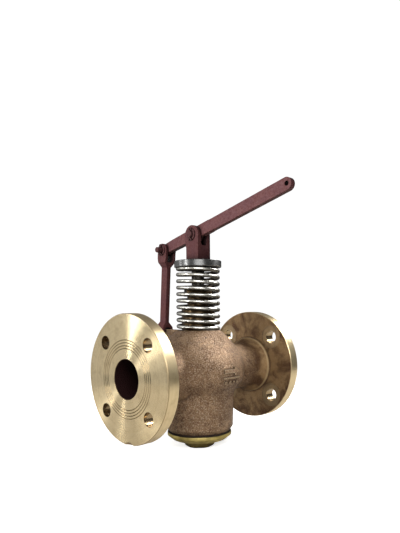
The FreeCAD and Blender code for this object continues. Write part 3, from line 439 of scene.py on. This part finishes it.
def casting_metal():
    """The casting: sand-cast bronze under brown patina, bright where it is machined, with painted shade
    inside the bore.
    """
    tree = Tree("casting_bronze")
    zone, noise = casting_zones(tree), skin_noise(tree)
    fine, bands = tool_marks(tree, zone.radius, zone.along)
    colour = tree.layers(
        cast_skin(tree, zone, noise),
        (zone.machined, 1.0, bright_bronze(tree, zone, bands)),
        # painted shade: near black inside the bore
        (zone.inside, 1.0, rgb(0.012, 0.004, 0.004)),
    )

    cast_relief = tree.sum_of((noise.grain, 1.0), (noise.grit, 0.45), (noise.patch, 0.6), (noise.pits, 1.0))
    turned_relief = tree.sum_of((fine, 0.8), (noise.grit, 0.1))
    cast_normal = tree.bump(cast_relief, 1.0 * MM)
    turned_normal = tree.bump(turned_relief, 0.006 * MM, 0.35)

    cast_rough = tree.span(noise.patch, 0.3, 0.7, 0.32, 0.55)
    face_rough = tree.span(bands, 0.3, 0.7, 0.235, 0.265)
    rim_rough = tree.span(bands, 0.3, 0.7, 0.34, 0.44)
    turned_rough = tree.lerp(zone.chamfers, tree.lerp(zone.rims, face_rough, rim_rough), 0.5)
    rough = tree.lerp(zone.machined, cast_rough, turned_rough)
    stretch = tree.lerp(zone.hole_walls, tree.lerp(zone.rims, 1.0, 0.7), 0.0)
    return tree.surface(
        Base_Color=colour,
        Metallic=tree.lerp(zone.inside, tree.lerp(zone.machined, 0.60, 1.0), 0.0),
        Specular_IOR_Level=tree.lerp(zone.inside, 0.22, 0.05),
        Roughness=tree.lerp(zone.inside, rough, 0.75),
        Anisotropic=tree.all_of(zone.machined, stretch),
        Anisotropic_Rotation=ACROSS_GROOVES,
        Tangent=zone.round_way,
        Normal=tree.mix_normals(zone.machined, cast_normal, turned_normal),
    )


def oxide_paint(name, tint, dust=0.55, edge_wear_and_highlight=0.55, lumps=0.75):
    """Matte red-oxide paint brushed over a rough forging, dusty in patches, worn pale on the edges with
    painted highlights there, and with painted shade in corners and towards the outline. The tint lightens
    or darkens it."""
    tree = Tree(name)
    place = tree.place()
    broad = tree.noise(place, 16 * MM, detail=5.0, rough=0.6, twist=0.5)
    brush = tree.noise(place, 3.0 * MM, detail=5.0, rough=0.7)
    grain = tree.noise(place, 0.8 * MM, detail=3.0, rough=0.7)
    red, plum, dusty = [
        rgb(*[part * tint for part in colour])
        for colour in ((0.082, 0.021, 0.018), (0.066, 0.019, 0.022), (0.17, 0.090, 0.093))
    ]
    # worn pale edges, partly a painted highlight
    edges = tree.all_of(tree.worn_edges(0.9 * MM), tree.span(brush, 0.35, 0.65))
    colour = tree.layers(
        red,
        (tree.span(broad, 0.35, 0.65), 1.0, plum),
        (tree.span(brush, 0.35, 0.75, 0.2, 1.0), dust, dusty),
        (tree.span(brush, 0.45, 0.25), 0.6, rgb(0.045, 0.014, 0.014)),
        (edges, edge_wear_and_highlight, rgb(0.22, 0.12, 0.11)),
        # painted shade in corners and narrow gaps
        (tree.painted_corner_shade(16 * MM, clear=0.82, shut=0.42, most=0.95), 1.0, rgb(0.006, 0.002, 0.002)),
        # painted shade towards the outline
        (tree.painted_outline_shade(0.55, 0.95), 0.85, rgb(0.008, 0.002, 0.003)),
    )
    return tree.surface(
        Base_Color=colour,
        Metallic=0.0,
        Roughness=tree.span(broad, 0.3, 0.7, 0.50, 0.68),
        Specular_IOR_Level=0.12,
        Normal=tree.bump(tree.sum_of((brush, 0.7), (grain, 0.3)), 0.22 * MM, lumps),
    )


def spring_wire():
    """Bright plated wire with faint draw lines, with painted shade underneath, on the coils' inner side and
    towards the outline.
    """
    tree = Tree("spring_wire")
    place = tree.place()
    stain = tree.noise(place, 9 * MM, detail=5.0, rough=0.65)
    streak = tree.noise(tree.vector("MULTIPLY", place, (1.0, 1.0, 6.0)), 5 * MM, detail=4.0, rough=0.7)
    grain = tree.noise(place, 0.9 * MM, detail=3.0, rough=0.6)
    facing = tree.node("NewGeometry").outputs["Normal"]
    from_axis = tree.vector("MULTIPLY", tree.vector("SUBTRACT", place, tuple(SPINDLE)), (1, 1, 0))
    outward = tree.vector("DOT_PRODUCT", facing, tree.vector("NORMALIZE", from_axis))
    # the coils' inner side and the wire's underside, where shade is painted
    inner = tree.span(outward, 0.25, -0.25)
    below = tree.span(tree.split(facing)[2], 0.05, -0.55)
    colour = tree.layers(
        rgb(0.66, 0.65, 0.60),
        (tree.span(streak, 0.35, 0.65), 1.0, rgb(0.46, 0.45, 0.40)),
        (tree.span(stain, 0.55, 0.78), 0.6, rgb(0.20, 0.15, 0.09)),
        # painted shade underneath and on the coils' inner side
        (tree.any_of(inner, below), 0.92, rgb(0.030, 0.022, 0.014)),
        # painted shade towards the outline
        (tree.painted_outline_shade(0.60, 0.90), 0.80, rgb(0.030, 0.026, 0.020)),
    )
    return tree.surface(
        Base_Color=colour,
        Metallic=1.0,
        Roughness=tree.span(stain, 0.35, 0.7, 0.24, 0.456),
        Normal=tree.bump(tree.calc("ADD", streak, grain), 0.02 * MM, 0.5),
    )


def soft_stuff(name, colour, pale, size, rough=0.8):
    """Gasket fibre, rubber or packing: a fine pressed grain."""
    tree = Tree(name)
    place = tree.place()
    grain = tree.noise(place, size, detail=4.0, rough=0.7)
    return tree.surface(
        Base_Color=tree.blend(tree.span(grain, 0.35, 0.7), rgb(*colour), rgb(*pale)),
        Roughness=tree.span(grain, 0.3, 0.7, rough * 0.85, rough),
        Specular_IOR_Level=0.15,
        Normal=tree.bump(grain, 0.1 * MM, 0.6),
    )


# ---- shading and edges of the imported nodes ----


def smooth_group(crease):
    """Geometry nodes that drop stored normals and smooth the edges that bend less than the crease, in
    degrees."""
    group = bpy.data.node_groups.new("smooth_flat_edges", "GeometryNodeTree")
    for way in ("INPUT", "OUTPUT"):
        group.interface.new_socket("Geometry", in_out=way, socket_type="NodeSocketGeometry")
    nodes, links = group.nodes, group.links
    start = nodes.new("NodeGroupInput")
    end = nodes.new("NodeGroupOutput")
    drop = nodes.new("GeometryNodeRemoveAttribute")
    drop.inputs["Name"].default_value = "custom_normal"
    faces = nodes.new("GeometryNodeSetShadeSmooth")
    edges = nodes.new("GeometryNodeSetShadeSmooth")
    edges.domain = "EDGE"
    angle = nodes.new("GeometryNodeInputMeshEdgeAngle")
    sharp = nodes.new("FunctionNodeCompare")
    sharp.operation = "GREATER_THAN"
    sharp.inputs[1].default_value = math.radians(crease)
    links.new(start.outputs[0], drop.inputs["Geometry"])
    links.new(drop.outputs[0], faces.inputs["Geometry"])
    links.new(faces.outputs[0], edges.inputs["Geometry"])
    links.new(angle.outputs["Unsigned Angle"], sharp.inputs[0])
    links.new(sharp.outputs[0], edges.inputs["Selection"])
    edges.inputs["Shade Smooth"].default_value = False
    links.new(edges.outputs[0], end.inputs[0])
    return group


SMOOTH = smooth_group(32)
SMOOTH_CASTING = smooth_group(22)


def dress(node, material, round_by=0.0, segments=3, smoothing=SMOOTH):
    """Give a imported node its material, joined faces, softened edges and smooth shading."""
    thing = NODES[node]
    thing.data.materials.clear()
    thing.data.materials.append(material)
    weld = thing.modifiers.new("join", "WELD")
    weld.merge_threshold = 0.002 * MM
    if round_by:
        flat = thing.modifiers.new("flats", "DECIMATE")
        flat.decimate_type = "DISSOLVE"
        flat.angle_limit = math.radians(0.5)
        bevel = thing.modifiers.new("edges", "BEVEL")
        bevel.width = round_by
        bevel.segments = segments
        bevel.limit_method = "ANGLE"
        bevel.angle_limit = math.radians(40)
    shade = thing.modifiers.new("smooth", "NODES")
    shade.node_group = smoothing


# ---- spring ----


def coil_spring(material):
    """Left-hand coils with closed, ground ends."""
    wire_r = 2.75 * MM
    pitch = 9.1 * MM
    end_pitch = 5.6 * MM
    closing = 0.9
    ground = 1.2 * MM
    low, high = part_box("relief_spring")
    coil_r = (high.x - low.x) / 2 - wire_r
    lift = high.z - low.z - 2 * ground
    turns = (lift + (pitch - end_pitch) * closing) / pitch
    first_angle = math.radians(14)
    per_turn, sides = 84, 24
    steps = round(turns * per_turn)

    def pitch_at(turn):
        from_end = min(turn, turns - turn) / closing
        share = min(max(from_end, 0.0), 1.0)
        return end_pitch + (pitch - end_pitch) * share

    points, faces = [], []
    height = low.z + ground
    step_turn = turns / steps
    for step in range(steps + 1):
        turn = step * step_turn
        angle = first_angle - turn * 2 * math.pi
        out = Vector((math.cos(angle), math.sin(angle), 0))
        centre = Vector((SPINDLE.x, SPINDLE.y, height)) + out * coil_r
        for side in range(sides):
            around = side * 2 * math.pi / sides
            rise = Vector((0, 0, wire_r * math.sin(around)))
            point = centre + out * (wire_r * math.cos(around)) + rise
            point.z = min(max(point.z, low.z), high.z)
            points.append(point)
        height += pitch_at(turn + step_turn / 2) * step_turn
    for step in range(steps):
        for side in range(sides):
            after = (side + 1) % sides
            here, there = step * sides, (step + 1) * sides
            faces.append((here + side, there + side, there + after, here + after))
    faces.append(tuple(range(sides)))
    faces.append(tuple(reversed(range(steps * sides, (steps + 1) * sides))))
    spring = add_piece("coil_spring", points, faces, material)
    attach(spring, "casing")
    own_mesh(spring)
    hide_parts("relief_spring")


def add_piece(name, points, faces, material):
    """A smooth object of its own from points and faces."""
    mesh = bpy.data.meshes.new(name)
    mesh.from_pydata([tuple(point) for point in points], [], faces)
    mesh.validate()
    mesh.shade_smooth()
    mesh.materials.append(material)
    piece = bpy.data.objects.new(name, mesh)
    bpy.context.scene.collection.objects.link(piece)
    shade = piece.modifiers.new("smooth", "NODES")
    shade.node_group = SMOOTH
    return piece


# ---- stage ----


def floor():
    """A round floor under the bottom cap that fades into the backdrop: glowing pale to the camera, and
    duller to everything else."""
    tree = Tree("floor_paint")
    place = tree.place()
    x, y = tree.split(place)[:2]
    away = tree.vector("LENGTH", tree.join(x, y, 0.0))
    cloud = tree.noise(place, 0.25, detail=3.0)
    pale = tree.blend(tree.span(cloud, 0.3, 0.7), rgb(0.90, 0.90, 0.90), rgb(0.87, 0.87, 0.87))
    seen = tree.node("LightPath").outputs["Is Camera Ray"]
    tree.surface(
        Base_Color=tree.blend(seen, rgb(0.45, 0.43, 0.40), pale),
        Roughness=0.7,
        Specular_IOR_Level=0.1,
        Emission_Color=rgb(1, 1, 1),
        Emission_Strength=tree.calc("MULTIPLY", seen, 0.72),
        Alpha=tree.span(away, 0.45, 1.0, 1.0, 0.0, smooth=True),
    )
    angles = [2 * math.pi * n / FLOOR_SIDES for n in range(FLOOR_SIDES)]
    ring = [(FLOOR_R * math.cos(angle), FLOOR_R * math.sin(angle), 0) for angle in angles]
    mesh = bpy.data.meshes.new("floor")
    mesh.from_pydata(ring, [], [tuple(range(FLOOR_SIDES))])
    mesh.materials.append(tree.material)
    disc = bpy.data.objects.new("floor", mesh)
    disc.location = (SPINDLE.x, SPINDLE.y, CAP_LOW_Z - FLOOR_GAP)
    bpy.context.scene.collection.objects.link(disc)


def backdrop():
    """White to the camera, and to everything else a dim room, lighter above, with a bright left wall."""
    world = bpy.data.worlds.new("studio")
    bpy.context.scene.world = world
    world.use_nodes = True
    tree = world.node_tree
    nodes, links = tree.nodes, tree.links
    nodes.clear()
    out = nodes.new("ShaderNodeOutputWorld")
    mix = nodes.new("ShaderNodeMixShader")
    rays = nodes.new("ShaderNodeLightPath")
    white = nodes.new("ShaderNodeBackground")
    white.inputs["Color"].default_value = rgb(1, 1, 1)
    white.inputs["Strength"].default_value = 1.05
    room = nodes.new("ShaderNodeBackground")
    coord = nodes.new("ShaderNodeTexCoord")
    split = nodes.new("ShaderNodeSeparateXYZ")
    ramp = nodes.new("ShaderNodeValToRGB")
    height = nodes.new("ShaderNodeMapRange")
    height.inputs["From Min"].default_value = -1.0
    links.new(coord.outputs["Generated"], split.inputs[0])
    links.new(split.outputs[2], height.inputs["Value"])
    links.new(height.outputs[0], ramp.inputs[0])
    stops = ((0.0, 0.06), (0.48, 0.08), (0.60, 0.16), (0.80, 0.26), (1.0, 0.36))
    while len(ramp.color_ramp.elements) < len(stops):
        ramp.color_ramp.elements.new(0.5)
    for element, (place, level) in zip(ramp.color_ramp.elements, stops):
        element.position = place
        element.color = rgb(level, level, level)
    toward = nodes.new("ShaderNodeVectorMath")
    toward.operation = "DOT_PRODUCT"
    wall = math.radians(LEFT_WALL)
    toward.inputs[1].default_value = (math.cos(wall), math.sin(wall), 0.0)
    links.new(coord.outputs["Generated"], toward.inputs[0])
    left = nodes.new("ShaderNodeMapRange")
    left.interpolation_type = "SMOOTHSTEP"
    for name, value in (("From Min", 0.25), ("From Max", 0.95), ("To Min", 0.0), ("To Max", LEFT_LEVEL)):
        left.inputs[name].default_value = value
    links.new(toward.outputs["Value"], left.inputs["Value"])
    glow = nodes.new("ShaderNodeMath")
    links.new(ramp.outputs[0], glow.inputs[0])
    links.new(left.outputs[0], glow.inputs[1])
    links.new(glow.outputs[0], room.inputs["Strength"])
    links.new(rays.outputs["Is Camera Ray"], mix.inputs[0])
    links.new(room.outputs[0], mix.inputs[1])
    links.new(white.outputs[0], mix.inputs[2])
    links.new(mix.outputs[0], out.inputs[0])


def softbox(name, azimuth, elevation, distance, wide, tall, power, target=LAMP_TARGET):
    """An area light that looks at the target; azimuth is counted from +X towards +Y, in degrees."""
    turn, rise = math.radians(azimuth), math.radians(elevation)
    way = Vector((math.cos(turn) * math.cos(rise), math.sin(turn) * math.cos(rise), math.sin(rise)))
    data = bpy.data.lights.new(name, "AREA")
    data.shape = "RECTANGLE"
    data.size = wide
    data.size_y = tall
    data.energy = power
    lamp = bpy.data.objects.new(name, data)
    lamp.location = target + way * distance
    lamp.rotation_mode = "QUATERNION"
    lamp.rotation_quaternion = (-way).to_track_quat("-Z", "Y")
    lamp.visible_camera = False
    bpy.context.scene.collection.objects.link(lamp)
    return lamp


def flag(lamp, state):
    """Keep a lamp off the painted linkage (EXCLUDE), or off all but the linkage (INCLUDE)."""
    linkage = bpy.data.collections.new(lamp.name + "_linkage")
    for node in LINKAGE:
        linkage.objects.link(NODES[node])
    for entry in linkage.collection_objects:
        entry.light_linking.link_state = state
    lamp.light_linking.receiver_collection = linkage


def camera():
    """A level camera on the handle's side of the inlet, turned 44 degrees off the pipe."""
    place = Vector((-0.3576, -0.5086, 0.0840))
    heading, dip, roll = math.radians(43.86), math.radians(2.37), math.radians(-0.47)
    forward = Vector((math.cos(heading), math.sin(heading), -math.tan(dip))).normalized()
    right = forward.cross(Vector((0, 0, 1))).normalized()
    up = right.cross(forward)
    rolled_right = right * math.cos(roll) + up * math.sin(roll)
    rolled_up = up * math.cos(roll) - right * math.sin(roll)
    data = bpy.data.cameras.new("camera")
    data.lens = 33.3
    data.shift_x = -0.0398
    data.shift_y = 0.1220
    data.clip_start = 0.01
    eye = bpy.data.objects.new("camera", data)
    turn = Matrix((rolled_right, rolled_up, -forward)).transposed()
    eye.matrix_world = Matrix.Translation(place) @ turn.to_4x4()
    bpy.context.scene.collection.objects.link(eye)
    bpy.context.scene.camera = eye


# ---- the valve ----


def dress_metals():
    bronze = turned_metal(
        "turned_bronze",
        colour=(0.12, 0.080, 0.042),
        shade=(0.060, 0.040, 0.022),
        rough=0.36,
        grime=0.8,
    )
    brass = turned_metal(
        "cap_brass",
        colour=(0.58, 0.47, 0.17),
        shade=(0.40, 0.31, 0.10),
        rough=0.46,
        stretch=0.0,
        grime=0.8,
        darker_under=CAP_LOW_Z + HEXAGON_TALL,
    )
    steel = turned_metal(
        "turned_steel",
        colour=(0.150, 0.150, 0.147),
        shade=(0.090, 0.090, 0.088),
        rough=0.32,
        stretch=0.6,
    )
    # a dark steel for the spindle
    dark_steel = turned_metal(
        "oiled_steel",
        colour=(0.080, 0.072, 0.060),
        shade=(0.045, 0.040, 0.033),
        rough=0.40,
        stretch=0.4,
    )
    dress("valve_body", casting_metal(), smoothing=SMOOTH_CASTING)
    for node in PLAIN_BRONZE:
        dress(node, bronze)
    dress("gland_nut", bronze, round_by=0.3 * MM, segments=2)
    dress("bottom_cap", brass, round_by=0.35 * MM, segments=2)
    dress("spring_cap", steel)
    dress("spindle", dark_steel)
    coil_spring(spring_wire())


def dress_painted():
    forged = oxide_paint("oxide_paint", tint=0.82, dust=0.36)
    # full edge wear on the pins, partly a painted highlight on the washers' edges
    pins = oxide_paint("oxide_paint_pins", tint=0.60, edge_wear_and_highlight=1.0)
    flat_bar = oxide_paint("oxide_paint_lever", tint=0.95, dust=0.62, edge_wear_and_highlight=0.15, lumps=0.5)
    dress("clevis", forged, round_by=0.9 * MM)
    dress("fulcrum_link", forged, round_by=0.9 * MM)
    dress("lever", flat_bar, round_by=0.9 * MM)
    for joint in PINNED:
        dress(joint + "_pin", pins, round_by=0.3 * MM, segments=2)
        dress(joint + "_washer", pins, round_by=0.2 * MM, segments=2)
        dress(joint + "_split_pin", pins)


def dress_soft():
    fibre = soft_stuff("gasket_fibre", (0.012, 0.008, 0.006), (0.035, 0.025, 0.018), 0.8 * MM)
    rubber = soft_stuff("seal_rubber", (0.02, 0.02, 0.02), (0.05, 0.05, 0.05), 1.5 * MM, rough=0.6)
    braid = soft_stuff("packing_braid", (0.16, 0.15, 0.12), (0.28, 0.26, 0.21), 1.2 * MM)
    dress("cap_gasket", fibre)
    dress("disc_seal", rubber)
    dress("gland_packing", braid)


dress_metals()
dress_painted()
dress_soft()
floor()
backdrop()
key = softbox("key_box", azimuth=339, elevation=42, distance=1.1, wide=0.45, tall=0.45, power=19)
softbox("wedge_box", azimuth=136, elevation=14, distance=1.0, wide=0.10, tall=0.30, power=1.2)
softbox("left_box", azimuth=168, elevation=17, distance=1.0, wide=0.14, tall=0.30, power=4)
front = softbox("front_box", azimuth=232, elevation=26, distance=1.2, wide=0.8, tall=0.45, power=14.5)
side = softbox("side_box", azimuth=204, elevation=24, distance=1.2, wide=0.5, tall=0.45, power=13)
flag(key, "EXCLUDE")
flag(front, "EXCLUDE")
flag(side, "INCLUDE")
softbox(
    "bounce_card",
    azimuth=160,
    elevation=-44,
    distance=0.13,
    wide=0.08,
    tall=0.03,
    power=0.006,
    target=PIPE_CENTRE,
)
camera()
bpy.context.scene.view_settings.view_transform = "Standard"
